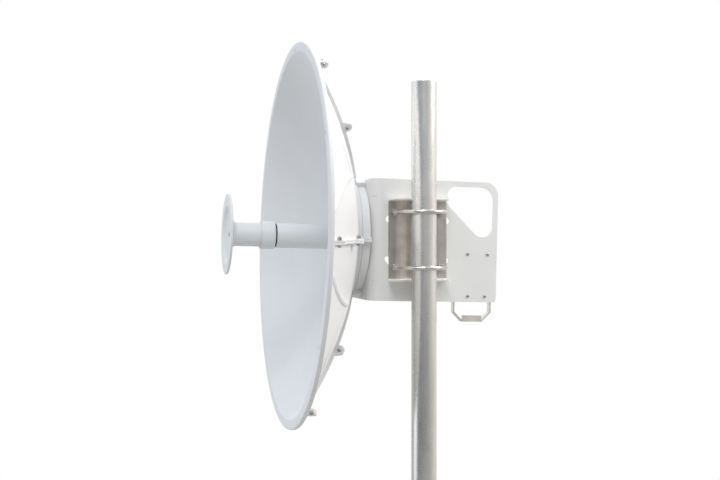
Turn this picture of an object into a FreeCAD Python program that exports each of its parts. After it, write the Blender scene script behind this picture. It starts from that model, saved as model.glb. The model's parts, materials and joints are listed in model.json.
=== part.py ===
"""Satellite dish: six-petal reflector, splash-plate feed and L bracket on a mast clamp.

Millimetres, +Z up. The origin is on the mast's axis, midway between the two U-bolts, which is
also the axis the dish is tilted about. The dish faces -Y and the bracket plate stands on the -X
side of the mast. Everything that tilts is drawn level and turned to REST_ELEVATION at the end.
"""
import FreeCAD
import Part
import math
import os

Vector = FreeCAD.Vector

# Mast clamp
MAST_BORE_R = 24.25       # notch radius for a 48.3 mm mast
WEB_FACE_X = -39.2        # face of the channel's web that looks at the mast
CHANNEL_SHEET = 3.0
CHANNEL_WIDTH = 116.0     # along Y
CHANNEL_HALF_Z = 79.0
CHANNEL_FLANGE = 28.0     # from the web's face to the flange tips
UBOLT_ROD_R = 4.0
UBOLT_SPACING_Y = 93.0
UBOLT_Z = 53.0
UBOLT_TAIL_X = -72.0

# Bracket plate
RUN_GAP = 0.3             # between the clamp and what slides past it
PLATE_SHEET = 3.0
PLATE_TOP = 116.3
PLATE_BOTTOM = -118.5
PLATE_END_Y = 163.8
BEND_R = 25.0             # outside of the bend
SLOT_HALF_WIDTH = 5.0
SLOT_REACH_DEG = 16.3     # each way from the bolt
REST_ELEVATION = 1.5      # degrees above level

# Dish axis and reflector; depths are measured back from the rim plane
DISH_X = -160.0
DISH_Z = 2.5
RIM_Y = -230.0
DISH_R = 380.0
BOWL_R = 361.0
BOWL_DEPTH = 123.0        # rim plane to the bowl's virtual bottom
PETALS = 6
SEAM_ROLL = 2.0           # degrees the seams sit below level on the +X side
SHEET = 3.0               # wall of the moulded petals
SKIRT = 8.0
INNER_R = 120.0           # where the bowl turns back to the land
LAND_R = 97.0             # inner edge of the land bolted to the drum
PETAL_BOLT_R = 104.5
SEAM_GAP = 0.1            # half the gap between two petals
SEAM_WALL = 4.1           # thickness of one seam flange
SEAM_FLANGE = 7.5
EAR_R = 10.0
EARS = ((245.0, 12.0), (369.0, 15.5))   # radius, height of the screw above the sheet
BEAD_HALF_WIDTH = 5.0
BEAD_HEIGHT = 4.0
COLLAR_WALL_R = 118.5     # outside of the wall each petal wraps round the drum
COLLAR_END = 4.5          # thickness of the flange at each end of that wall
COLLAR_END_R = 129.0
COLLAR_NECK = (116.8, 121.6)   # radius and rear end of the groove in front of that wall

# Drum and feed
DRUM_R = 115.2
DRUM_FRONT = 119.0
DRUM_REAR = 137.0
DRUM_SHEET = 3.0
FEED_PLATE_R = 94.5
REAR_TUBE_R = 24.5
FRONT_TUBE_R = 23.2
SPIGOT_R = 21.8
GROOVE_REAR = -26.9
COLLAR_R = 27.6
COLLAR_REAR = -30.1
COLLAR_FRONT = -59.3
SUB_R = 79.0
SUB_FACE = -125.0
SUB_RIM_R = 56.0          # where the sub-reflector's flat rim drops into its recess
SUB_HOLE_DEPTH = -104.0   # how far back the sub-reflector's screw hole runs
OMT_R = 30.0
M4_CLEAR_R = 2.3
M5_CLEAR_R = 2.8
TAPPED_R = 2.5            # tapped holes for the feed's M5 screws
INSULATOR_R = 3.4

PLATE_FACE_X = WEB_FACE_X - CHANNEL_SHEET - RUN_GAP
PLATE_BACK_X = PLATE_FACE_X - PLATE_SHEET
FLANGE_Y = RIM_Y + DRUM_REAR
UBOLT_ARM = math.hypot(UBOLT_SPACING_Y / 2, UBOLT_Z)
UBOLT_ANGLE = math.degrees(math.atan2(UBOLT_Z, UBOLT_SPACING_Y / 2))

X_AXIS = Vector(1, 0, 0)
Y_AXIS = Vector(0, 1, 0)
Z_AXIS = Vector(0, 0, 1)
ORIGIN = Vector(0, 0, 0)


# ---------------------------------------------------------------- general shapes

def box(x, y, z):
    """Block between (low, high) pairs."""
    corner = Vector(x[0], y[0], z[0])
    return Part.makeBox(x[1] - x[0], y[1] - y[0], z[1] - z[0], corner)


def rod(radius, start, end):
    """Cylinder between two points."""
    return Part.makeCylinder(radius, (end - start).Length, start, end - start)


def tube(outer, inner, start, end):
    return rod(outer, start, end).cut(rod(inner, start, end))


def polygon(points):
    return Part.Face(Part.makePolygon(points + [points[0]]))


def hex_prism(across_flats, start, direction, height):
    """Hexagon bar from start along direction."""
    radius = across_flats / math.sqrt(3)
    turn = FreeCAD.Rotation(Z_AXIS, direction)
    corners = []
    for index in range(6):
        angle = math.radians(60 * index + 30)
        flat = Vector(radius * math.cos(angle), radius * math.sin(angle), 0)
        corners.append(start + turn.multVec(flat))
    bar = polygon(corners).extrude(direction * height)
    side = height * 0.12
    cone = Part.makeCone(radius, radius - side * 1.7, side, ORIGIN, Z_AXIS)
    body = rod(radius, ORIGIN, Z_AXIS * (height - side))
    cone.translate(Z_AXIS * (height - side))
    blank = body.fuse(cone)
    blank.Placement = FreeCAD.Placement(start, turn)
    return bar.common(blank)


def nut(across_flats, hole_r, start, direction, height):
    blank = hex_prism(across_flats, start, direction, height)
    return blank.cut(rod(hole_r, start - direction, start + direction * (height + 1)))


def washer(outer, inner, start, direction, height):
    return tube(outer, inner, start, start + direction * height)


def hex_bolt(across_flats, head, shank_r, start, direction, length):
    """Bolt whose head sits on start; the shank runs along direction."""
    top = hex_prism(across_flats, start, direction * -1, head)
    return top.fuse(rod(shank_r, start, start + direction * length))


def button_screw(head_r, head, shank_r, start, direction, length):
    """Low round head on start with a hexagon socket, shank along direction."""
    crown = rod(head_r, start, start - direction * head)
    rim = [edge for edge in crown.Edges if edge.Length > head_r * 6]
    outer = [edge for edge in rim if edge.CenterOfMass.distanceToPoint(start) > head / 2]
    crown = crown.makeFillet(head * 0.55, outer)
    socket = hex_prism(head_r * 0.9, start - direction * (head + 1), direction, 1 + head * 0.55)
    return crown.cut(socket).fuse(rod(shank_r, start, start + direction * length))


def group(solids):
    return Part.makeCompound(solids)


# ---------------------------------------------------------------- dish frame helpers

def at_dish(shape):
    """Move a shape drawn about the Y axis, rim plane at Y=0, on to the dish's axis."""
    moved = shape.copy()
    moved.translate(Vector(DISH_X, RIM_Y, DISH_Z))
    return moved


def turned(shape, degrees):
    """Turn about the dish's axis; positive takes +X towards +Z."""
    copy = shape.copy()
    copy.rotate(ORIGIN, Y_AXIS, -degrees)
    return copy


def revolved(points, degrees=360.0):
    """Solid of revolution about the Y axis from (radius, depth) points."""
    face = polygon([Vector(radius, depth, 0) for radius, depth in points])
    return face.revolve(ORIGIN, Y_AXIS * -1, degrees)


def polar(radius, degrees, depth):
    angle = math.radians(degrees)
    return Vector(radius * math.cos(angle), depth, radius * math.sin(angle))


def bowl_depth(radius):
    """Depth of the reflector's front face: the bowl, then the flat rim flange."""
    return BOWL_DEPTH * (1 - (min(radius, BOWL_R) / BOWL_R) ** 2)


def bowl_curve(start, end, offset):
    """Spline along the bowl in the X-Y plane, offset back from its front face."""
    count = 14
    points = []
    for index in range(count + 1):
        radius = start + (end - start) * index / count
        points.append(Vector(radius, bowl_depth(radius) + offset, 0))
    curve = Part.BSplineCurve()
    curve.interpolate(points)
    return curve.toShape()


def path(points):
    """Straight edges through (radius, depth) points in the X-Y plane."""
    corners = [Vector(radius, depth, 0) for radius, depth in points]
    return [Part.makeLine(a, b) for a, b in zip(corners, corners[1:])]


# ---------------------------------------------------------------- reflector

def petal_sheet():
    """Wall of one petal from angle 0 to 60, with rim, skirt, step, land and collar."""
    back_r = INNER_R + SHEET
    land_front = DRUM_FRONT - SHEET
    edges = [bowl_curve(INNER_R, BOWL_R, 0.0)]
    edges += path([
        (BOWL_R, 0.0), (DISH_R, 0.0), (DISH_R, SKIRT), (DISH_R - SHEET, SKIRT),
        (DISH_R - SHEET, SHEET), (BOWL_R, SHEET)])
    edges.append(bowl_curve(back_r, BOWL_R, SHEET))
    edges += path([
        (back_r, bowl_depth(back_r) + SHEET), (back_r, DRUM_FRONT), (LAND_R, DRUM_FRONT),
        (LAND_R, land_front), (INNER_R, land_front), (INNER_R, bowl_depth(INNER_R))])
    profile = Part.Face(Part.Wire(Part.__sortEdges__(edges)))
    sheet = profile.revolve(ORIGIN, Y_AXIS * -1, 360.0 / PETALS)
    sheet = sheet.fuse(petal_collar())
    return sheet.cut(seam_slab(0.0)).cut(seam_slab(360.0 / PETALS))


def petal_collar():
    """Wall behind the land that wraps the drum, with a flange closing each end."""
    rear = DRUM_REAR - RUN_GAP
    land_back = DRUM_FRONT - 1.0
    neck_r, neck_end = COLLAR_NECK
    wall = [
        (DRUM_R + 0.3, land_back), (neck_r, land_back), (neck_r, neck_end),
        (COLLAR_WALL_R, neck_end), (COLLAR_WALL_R, rear), (DRUM_R + 0.3, rear)]
    end = [
        (DRUM_R + 0.3, land_back), (COLLAR_END_R, land_back),
        (COLLAR_END_R, rear), (DRUM_R + 0.3, rear)]
    reach = math.degrees(COLLAR_END / COLLAR_WALL_R)
    collar = revolved(wall, 360.0 / PETALS)
    collar = collar.fuse(revolved(end, reach))
    return collar.fuse(turned(revolved(end, reach), 360.0 / PETALS - reach))


def seam_slab(degrees):
    """Thin slab along a seam, the gap between two petals."""
    slab = box((0, DISH_R + 20), (-20, BOWL_DEPTH + 20), (-SEAM_GAP, SEAM_GAP))
    return turned(slab, degrees)


def seam_flange(side):
    """Radial flange with its two ears, standing on the seam at angle 0 on the given side."""
    start = INNER_R + SHEET
    end = DISH_R - SHEET - 4
    edges = [bowl_curve(start, BOWL_R, SHEET / 2), bowl_curve(start, BOWL_R, SHEET + SEAM_FLANGE)]
    low = bowl_depth(BOWL_R) + SHEET / 2
    high = SHEET + SEAM_FLANGE
    edges += path([(BOWL_R, low), (end, low), (end, high), (BOWL_R, high)])
    edges += path([(start, bowl_depth(start) + SHEET / 2), (start, bowl_depth(start) + high)])
    profile = Part.Face(Part.Wire(Part.__sortEdges__(edges)))
    rise = Z_AXIS * SEAM_WALL * side
    flange = profile.extrude(rise)
    holes = []
    for radius, height in EARS:
        centre = Vector(radius, bowl_depth(radius) + SHEET + height, 0)
        inner = radius - EAR_R
        outer = radius + EAR_R
        stem = polygon([
            Vector(inner, bowl_depth(inner) + SHEET / 2, 0),
            Vector(outer, bowl_depth(outer) + SHEET / 2, 0),
            Vector(outer, centre.y, 0),
            Vector(inner, centre.y, 0)])
        flange = flange.fuse(rod(EAR_R, centre, centre + rise)).fuse(stem.extrude(rise))
        holes.append(rod(M4_CLEAR_R, centre - Z_AXIS * 5, centre + Z_AXIS * 5))
    for hole in holes:
        flange = flange.cut(hole)
    flange.translate(Z_AXIS * SEAM_GAP * side)
    return flange


def bead():
    """Arch-shaped stiffening bead: its crown points at the hub, its legs run out to the rim."""
    half = [
        (236.0, 0.0), (240.0, 5.0), (267.0, 27.0), (289.0, 51.0), (305.0, 77.0), (316.0, 104.0),
        (322.0, 132.0)]
    line = [(u, -v) for u, v in reversed(half[1:])] + half
    inner = []
    outer = []
    for index, (u, v) in enumerate(line):
        before = line[max(index - 1, 0)]
        after = line[min(index + 1, len(line) - 1)]
        du = after[0] - before[0]
        dv = after[1] - before[1]
        length = math.hypot(du, dv)
        side_u = dv / length * BEAD_HALF_WIDTH
        side_v = -du / length * BEAD_HALF_WIDTH
        inner.append(Vector(u - side_u, -20, v - side_v))
        outer.append(Vector(u + side_u, -20, v + side_v))
    edges = []
    for points in (inner, outer):
        curve = Part.BSplineCurve()
        curve.interpolate(points)
        edges.append(curve.toShape())
    edges.append(Part.makeLine(inner[0], outer[0]))
    edges.append(Part.makeLine(inner[-1], outer[-1]))
    outline = Part.Face(Part.Wire(Part.__sortEdges__(edges)))
    prism = outline.extrude(Y_AXIS * (BOWL_DEPTH + 40))
    low = bowl_curve(200.0, 358.0, SHEET / 2)
    high = bowl_curve(200.0, 358.0, SHEET + BEAD_HEIGHT)
    sides = []
    for radius in (200.0, 358.0):
        base = bowl_depth(radius) + SHEET
        sides += path([(radius, base - SHEET / 2), (radius, base + BEAD_HEIGHT)])
    section = Part.Face(Part.Wire(Part.__sortEdges__([low, high] + sides)))
    layer = section.revolve(ORIGIN, Y_AXIS * -1, 360.0 / PETALS)
    return turned(prism, 180.0 / PETALS).common(layer)


def petal_holes():
    """Bolt holes in the land, and the small drain hole at the middle of the rim flange."""
    middle = 180.0 / PETALS
    holes = []
    for offset in (-18.0, 18.0):
        start = polar(PETAL_BOLT_R, middle + offset, DRUM_FRONT - 8)
        holes.append(rod(M5_CLEAR_R, start, start + Y_AXIS * 12))
    drain = polar(BOWL_R + 4.0, middle, -5)
    holes.append(rod(2.0, drain, drain + Y_AXIS * 12))
    return holes


def petal_blank():
    """One whole petal, from angle 0 to 60 degrees."""
    blank = petal_sheet()
    blank = blank.fuse(seam_flange(1))
    blank = blank.fuse(turned(seam_flange(-1), 360.0 / PETALS))
    blank = blank.fuse(bead())
    for hole in petal_holes():
        blank = blank.cut(hole)
    return blank.removeSplitter()


def seam_angle(index):
    return 360.0 / PETALS * index - SEAM_ROLL


def seam_fasteners():
    """M4 screws, washers and nuts through the ears of all seams, as three lists."""
    bolts = []
    washers = []
    nuts = []
    grip = SEAM_GAP + SEAM_WALL
    for index in range(PETALS):
        for radius, height in EARS:
            seat = bowl_depth(radius) + SHEET
            top = Vector(radius, seat + height, grip)
            foot = Vector(radius, seat + height, -grip)
            parts = (
                button_screw(3.5, 4.0, 2.0, foot, Z_AXIS, 2 * grip + 6.5),
                washer(4.5, 2.1, top, Z_AXIS, 0.8),
                nut(7.5, 2.05, top + Z_AXIS * 0.8, Z_AXIS, 4.5))
            for target, shape in zip((bolts, washers, nuts), parts):
                target.append(at_dish(turned(shape, seam_angle(index))))
    return bolts, washers, nuts


# ---------------------------------------------------------------- drum and feed plate

def hub_drum():
    """Pressed drum the petals and the feed plate are bolted to."""
    inner = DRUM_R - DRUM_SHEET
    drum = revolved([
        (70.0, DRUM_FRONT), (DRUM_R, DRUM_FRONT), (DRUM_R, DRUM_REAR), (48.0, DRUM_REAR),
        (48.0, DRUM_REAR - DRUM_SHEET), (inner, DRUM_REAR - DRUM_SHEET),
        (inner, DRUM_FRONT + DRUM_SHEET), (70.0, DRUM_FRONT + DRUM_SHEET)])
    for point in petal_bolt_points():
        drum = drum.cut(rod(M5_CLEAR_R, point - Y_AXIS * 2, point + Y_AXIS * (DRUM_SHEET + 4)))
    for point in feed_plate_points():
        drum = drum.cut(rod(3.3, point - Y_AXIS * 2, point + Y_AXIS * (DRUM_SHEET + 4)))
    for point in bracket_bolt_points():
        drum = drum.cut(rod(4.5, point - Y_AXIS * 6, point + Y_AXIS * 2))
    return drum


def petal_bolt_points():
    """Where the petal bolts cross the drum's front face."""
    points = []
    for index in range(PETALS):
        middle = seam_angle(index) + 180.0 / PETALS
        for offset in (-18.0, 18.0):
            points.append(polar(PETAL_BOLT_R, middle + offset, DRUM_FRONT))
    return points


def feed_plate_points():
    return [polar(82.0, 60.0 * index, DRUM_FRONT) for index in range(6)]


def bracket_bolt_points():
    """Where the bracket bolts cross the drum's rear face."""
    return [polar(90.0, 30.0 + 60.0 * index, DRUM_REAR) for index in range(6)]


def feed_flange_points():
    return [polar(35.0, 45.0 + 90.0 * index, DRUM_FRONT - DRUM_SHEET) for index in range(4)]


def feed_plate():
    plate = revolved([
        (REAR_TUBE_R + 0.3, DRUM_FRONT - DRUM_SHEET), (FEED_PLATE_R - 3, DRUM_FRONT - DRUM_SHEET),
        (FEED_PLATE_R, DRUM_FRONT - 1.0), (FEED_PLATE_R, DRUM_FRONT),
        (REAR_TUBE_R + 0.3, DRUM_FRONT)])
    for point in feed_plate_points():
        plate = plate.cut(rod(3.3, point - Y_AXIS * 6, point + Y_AXIS * 6))
    for point in feed_flange_points():
        plate = plate.cut(rod(TAPPED_R, point - Y_AXIS * 6, point + Y_AXIS * 6))
    return plate


def feed_flange():
    """Ring that clamps the feed tube to the feed plate."""
    face = DRUM_FRONT - DRUM_SHEET
    ring = revolved([
        (REAR_TUBE_R, face), (REAR_TUBE_R, face - 11), (REAR_TUBE_R + 3, face - 11),
        (REAR_TUBE_R + 4, face - 5), (42.0, face - 5), (43.0, face - 4), (43.0, face)])
    for point in feed_flange_points():
        ring = ring.cut(rod(2.7, point - Y_AXIS * 8, point + Y_AXIS * 2))
    return ring


def bolted_ring(points, head_af, head, shank_r, grip, extra):
    """Bolts with heads in front of the given points and nuts behind the grip."""
    bolts = []
    nuts = []
    for point in points:
        bolts.append(hex_bolt(head_af, head, shank_r, point, Y_AXIS, grip + extra))
        nuts.append(nut(head_af, shank_r + 0.05, point + Y_AXIS * grip, Y_AXIS, shank_r * 1.6))
    return [at_dish(bolt) for bolt in bolts], [at_dish(item) for item in nuts]


def bracket_fasteners():
    """M8 bolts from inside the drum through the bracket, with washers and nuts behind."""
    bolts = []
    washers = []
    nuts = []
    grip = DRUM_SHEET + PLATE_SHEET
    for point in bracket_bolt_points():
        seat = point - Y_AXIS * DRUM_SHEET
        back = seat + Y_AXIS * grip
        bolts.append(at_dish(hex_bolt(13.0, 5.3, 4.0, seat, Y_AXIS, grip + 13)))
        washers.append(at_dish(washer(8.0, 4.2, back, Y_AXIS, 1.6)))
        nuts.append(at_dish(nut(13.0, 4.05, back + Y_AXIS * 1.6, Y_AXIS, 6.5)))
    return bolts, washers, nuts


# ---------------------------------------------------------------- feed

def rear_tube():
    """Waveguide tube from the groove back to the transition, with a spigot in front."""
    return at_dish(revolved([
        (19.5, -50.0), (SPIGOT_R, -50.0), (SPIGOT_R, GROOVE_REAR), (REAR_TUBE_R - 0.8, GROOVE_REAR),
        (REAR_TUBE_R, GROOVE_REAR + 0.8), (REAR_TUBE_R, 150.0), (22.0, 150.0), (22.0, -20.0),
        (19.5, -20.0)]))


def feed_seal():
    return at_dish(revolved([
        (SPIGOT_R, GROOVE_REAR), (SPIGOT_R, COLLAR_REAR), (23.0, COLLAR_REAR),
        (23.0, GROOVE_REAR)]))


def feed_collar():
    return at_dish(revolved([
        (SPIGOT_R, COLLAR_REAR), (SPIGOT_R, -50.0), (FRONT_TUBE_R, -50.0),
        (FRONT_TUBE_R, COLLAR_FRONT), (COLLAR_R - 1.2, COLLAR_FRONT),
        (COLLAR_R, COLLAR_FRONT + 1.2), (COLLAR_R, COLLAR_REAR - 1.5),
        (COLLAR_R - 0.4, COLLAR_REAR - 0.5), (COLLAR_R - 1.4, COLLAR_REAR)]))


def front_tube():
    return at_dish(revolved([
        (20.5, -50.0), (FRONT_TUBE_R, -50.0), (FRONT_TUBE_R, -106.0), (20.5, -106.0)]))


def feed_plug():
    """Dielectric plug: fills the tube's mouth and flares out to carry the sub-reflector."""
    back = SUB_FACE + 10.5
    points = [(0.0, -84.0), (6.0, -90.0), (20.5, -94.0), (20.5, -106.0), (FRONT_TUBE_R, -106.0)]
    flare = 8
    for step in range(1, flare + 1):
        angle = math.pi / 2 * step / flare
        radius = FRONT_TUBE_R + 10.0 * (1 - math.cos(angle))
        points.append((radius, -106.0 - 8.0 * math.sin(angle)))
    points += [(33.2, back), (0.0, back)]
    return at_dish(revolved(points).cut(sub_hole()))


def sub_hole():
    """Hole for the screw that holds the sub-reflector to the plug."""
    return rod(2.6, Y_AXIS * SUB_FACE, Y_AXIS * SUB_HOLE_DEPTH)


def sub_reflector():
    """Splash plate: a flat rim in front round a recess that deepens to the centre."""
    disc = revolved([
        (0.0, SUB_FACE + 8.0), (12.0, SUB_FACE + 8.0), (50.0, SUB_FACE + 5.0),
        (SUB_RIM_R, SUB_FACE + 0.8), (SUB_RIM_R + 2.0, SUB_FACE), (SUB_R - 1.0, SUB_FACE),
        (SUB_R, SUB_FACE + 1.0), (SUB_R, SUB_FACE + 3.6), (SUB_R - 1.0, SUB_FACE + 4.4),
        (60.0, SUB_FACE + 6.6), (34.0, SUB_FACE + 10.5), (0.0, SUB_FACE + 10.5)])
    return at_dish(disc.cut(sub_hole()))


def sub_screw():
    return at_dish(button_screw(5.0, 2.8, 2.5, Y_AXIS * (SUB_FACE + 8.0), Y_AXIS, 12.0))


def transition_points():
    return [polar(40.0, 45.0 + 90.0 * index, DRUM_REAR + PLATE_SHEET + 4) for index in range(4)]


def transition():
    """Orthomode body behind the bracket: flange, socket for the tube, two port bosses."""
    front = DRUM_REAR + PLATE_SHEET
    shell = revolved([
        (REAR_TUBE_R, front), (46.0, front), (46.0, front + 4), (OMT_R, front + 4),
        (OMT_R, 200.0), (22.0, 200.0), (22.0, 150.0), (REAR_TUBE_R, 150.0)])
    for direction, depth in PORTS:
        seat = Y_AXIS * depth
        shell = shell.fuse(rod(13.0, seat + direction * 24, seat + direction * 33))
    shell = shell.cut(rod(22.0, Y_AXIS * 150, Y_AXIS * 200))
    for direction, depth in PORTS:
        seat = Y_AXIS * depth
        shell = shell.cut(rod(INSULATOR_R, seat + direction * 15, seat + direction * 40))
    for point in transition_points():
        shell = shell.cut(rod(2.7, point - Y_AXIS * 6, point + Y_AXIS * 2))
    return at_dish(shell)


def transition_cap():
    cap = revolved([
        (0.0, 200.0), (OMT_R, 200.0), (OMT_R, 203.0), (OMT_R - 1.5, 204.5), (0.0, 204.5)])
    return at_dish(cap)


# Directions of the two signal ports and their depths behind the rim plane
PORTS = ((Z_AXIS * -1, 166.0), (X_AXIS * -1, 184.0))


def connectors():
    """Threaded coaxial connectors: hexagon shells, insulators, contacts with their probes."""
    shells = []
    insulators = []
    contacts = []
    for direction, depth in PORTS:
        seat = Y_AXIS * depth
        foot = seat + direction * 33
        shell = hex_prism(14.0, foot, direction, 3.0)
        shell = shell.fuse(rod(4.75, foot, foot + direction * 14))
        shell = shell.cut(rod(INSULATOR_R, foot - direction, foot + direction * 15))
        shells.append(at_dish(shell))
        insulators.append(at_dish(tube(INSULATOR_R, 1.0, seat + direction * 22, foot + direction * 13.5)))
        contacts.append(at_dish(rod(1.0, seat + direction * 12, foot + direction * 9)))
    return shells, insulators, contacts


# ---------------------------------------------------------------- bracket

def bracket_outline():
    """L-shaped section of the bracket in the X-Y plane, with the bend."""
    centre = Vector(PLATE_FACE_X - BEND_R, FLANGE_Y + BEND_R, 0)
    inner_r = BEND_R - PLATE_SHEET
    far = DISH_X - (PLATE_FACE_X - DISH_X)
    diagonal = Vector(1, -1, 0).normalize()

    def straight(a, b):
        return Part.makeLine(Vector(a[0], a[1], 0), Vector(b[0], b[1], 0))

    def bend(radius):
        start = centre + Vector(0, -radius, 0)
        end = centre + Vector(radius, 0, 0)
        return Part.Arc(start, centre + diagonal * radius, end).toShape()

    edges = [
        straight((far, FLANGE_Y), (centre.x, FLANGE_Y)),
        bend(BEND_R),
        straight((PLATE_FACE_X, centre.y), (PLATE_FACE_X, PLATE_END_Y)),
        straight((PLATE_FACE_X, PLATE_END_Y), (PLATE_BACK_X, PLATE_END_Y)),
        straight((PLATE_BACK_X, PLATE_END_Y), (PLATE_BACK_X, centre.y)),
        bend(inner_r),
        straight((centre.x, FLANGE_Y + PLATE_SHEET), (far, FLANGE_Y + PLATE_SHEET)),
        straight((far, FLANGE_Y + PLATE_SHEET), (far, FLANGE_Y))]
    return Part.Face(Part.Wire(Part.__sortEdges__(edges)))


def rounded_prism(corners, start, depth):
    """Prism along X from (y, z, radius) corners listed anticlockwise or clockwise."""
    count = len(corners)
    edges = []
    joints = []
    for index, (y, z, radius) in enumerate(corners):
        here = Vector(start, y, z)
        back = Vector(start, *corners[index - 1][:2]) - here
        ahead = Vector(start, *corners[(index + 1) % count][:2]) - here
        back.normalize()
        ahead.normalize()
        half = back.getAngle(ahead) / 2
        run = radius / math.tan(half)
        bisector = (back + ahead).normalize()
        centre = here + bisector * (radius / math.sin(half))
        joints.append((here + back * run, centre - bisector * radius, here + ahead * run))
    for index, (enter, middle, leave) in enumerate(joints):
        edges.append(Part.Arc(enter, middle, leave).toShape())
        edges.append(Part.makeLine(leave, joints[(index + 1) % count][0]))
    return Part.Face(Part.Wire(Part.__sortEdges__(edges))).extrude(X_AXIS * depth)


def arc_slot(degrees):
    """Slot through the plate for one U-bolt leg, centred on the given angle."""
    start = PLATE_BACK_X - 2
    depth = PLATE_SHEET + 4
    low = math.radians(degrees - SLOT_REACH_DEG)
    middle = math.radians(degrees)
    high = math.radians(degrees + SLOT_REACH_DEG)

    def spot(radius, angle):
        return Vector(start, radius * math.cos(angle), radius * math.sin(angle))

    outer = UBOLT_ARM + SLOT_HALF_WIDTH
    inner = UBOLT_ARM - SLOT_HALF_WIDTH
    past = math.asin(SLOT_HALF_WIDTH / UBOLT_ARM)
    edges = [
        Part.Arc(spot(outer, low), spot(outer, middle), spot(outer, high)).toShape(),
        Part.Arc(spot(outer, high), spot(UBOLT_ARM, high + past), spot(inner, high)).toShape(),
        Part.Arc(spot(inner, high), spot(inner, middle), spot(inner, low)).toShape(),
        Part.Arc(spot(inner, low), spot(UBOLT_ARM, low - past), spot(outer, low)).toShape()]
    return Part.Face(Part.Wire(Part.__sortEdges__(edges))).extrude(X_AXIS * depth)


def leg_angles():
    return [UBOLT_ANGLE, 180 - UBOLT_ANGLE, 180 + UBOLT_ANGLE, 360 - UBOLT_ANGLE]


def bend_dimple(plate, height):
    """Press a short rounded groove across the bend at the given height, to stiffen it."""
    radius = 2.6
    depth = 1.1
    half_length = 12.0
    half_height = 8.0
    into_sheet = 1.5
    centre = Vector(PLATE_FACE_X - BEND_R, FLANGE_Y + BEND_R, height)
    outward = Vector(1, -1, 0).normalize()
    across = Vector(1, 1, 0).normalize()
    axis_point = centre + outward * (BEND_R + radius - depth)
    start = axis_point - across * half_length
    end = axis_point + across * half_length
    bump = rod(radius + PLATE_SHEET, start, end)
    inside = rod(BEND_R - into_sheet, centre - Z_AXIS * half_height, centre + Z_AXIS * half_height)
    span = (height - half_height, height + half_height)
    quadrant = box((centre.x, PLATE_FACE_X), (FLANGE_Y, centre.y), span)
    return plate.fuse(bump.common(inside).common(quadrant)).cut(rod(radius, start, end))


PLATE_SCREWS = ((103.5, -25.0), (144.5, -25.0), (105.5, -107.0), (140.5, -107.0))


def bracket_plate():
    plate = bracket_outline().extrude(Z_AXIS * (PLATE_TOP - PLATE_BOTTOM))
    plate.translate(Z_AXIS * PLATE_BOTTOM)
    keep = rounded_prism([
        (FLANGE_Y - 10, PLATE_BOTTOM, 3.0), (PLATE_END_Y, PLATE_BOTTOM, 6.0),
        (PLATE_END_Y, PLATE_TOP, 26.0), (FLANGE_Y - 10, PLATE_TOP, 3.0)], -400.0, 400.0)
    plate = plate.common(keep)
    far = DISH_X - (PLATE_FACE_X - DISH_X)
    back = rounded_flange(far)
    plate = plate.common(back)
    for height in (80.0, -82.0):
        plate = bend_dimple(plate, height)
    window = rounded_prism([
        (59.5, 106.0, 17.0), (154.0, 106.0, 25.0), (154.0, -22.0, 22.0), (59.5, 71.0, 17.0)],
        PLATE_BACK_X - 2, PLATE_SHEET + 4)
    plate = plate.cut(window)
    for degrees in leg_angles():
        plate = plate.cut(arc_slot(degrees))
    for y, z in PLATE_SCREWS:
        start = Vector(PLATE_BACK_X - 2, y, z)
        plate = plate.cut(rod(1.7, start, start + X_AXIS * (PLATE_SHEET + 4)))
    centre = Vector(DISH_X, FLANGE_Y, DISH_Z)
    plate = plate.cut(rod(34.0, centre - Y_AXIS * 2, centre + Y_AXIS * 6))
    for point in bracket_bolt_points():
        spot = point + Vector(DISH_X, RIM_Y, DISH_Z)
        plate = plate.cut(rod(4.5, spot - Y_AXIS * 2, spot + Y_AXIS * 6))
    for point in transition_points():
        spot = point + Vector(DISH_X, RIM_Y, DISH_Z)
        plate = plate.cut(rod(TAPPED_R, spot - Y_AXIS * 9, spot + Y_AXIS * 2))
    return plate.removeSplitter()


def rounded_flange(far):
    """Block that rounds the two corners of the mounting flange away from the mast."""
    radius = 60.0
    block = box((far, 0), (-200, 200), (PLATE_BOTTOM, PLATE_TOP))
    picked = []
    for edge in block.Edges:
        middle = edge.CenterOfMass
        if abs(middle.x - far) < 0.1 and abs(edge.BoundBox.YLength - 400) < 0.1:
            picked.append(edge)
    return block.makeFillet(radius, picked)


# ---------------------------------------------------------------- radio holder

def bent_strip(points, sheet, x_range):
    """Strip with its width along X, its centreline through (y, z) points, mitred bends."""
    left = []
    right = []
    for index, (y, z) in enumerate(points):
        here = Vector(0, y, z)
        steps = []
        if index > 0:
            steps.append((here - Vector(0, *points[index - 1])).normalize())
        if index < len(points) - 1:
            steps.append((Vector(0, *points[index + 1]) - here).normalize())
        normals = [Vector(0, -step.z, step.y) for step in steps]
        side = sum(normals[1:], normals[0])
        side.normalize()
        reach = sheet / 2 / side.dot(normals[0])
        left.append(here + side * reach)
        right.append(here - side * reach)
    section = polygon(left + right[::-1])
    section.translate(X_AXIS * x_range[0])
    return section.extrude(X_AXIS * (x_range[1] - x_range[0]))


STIRRUP_SHEET = 3.0
STIRRUP_WIDTH = 13.0


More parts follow.
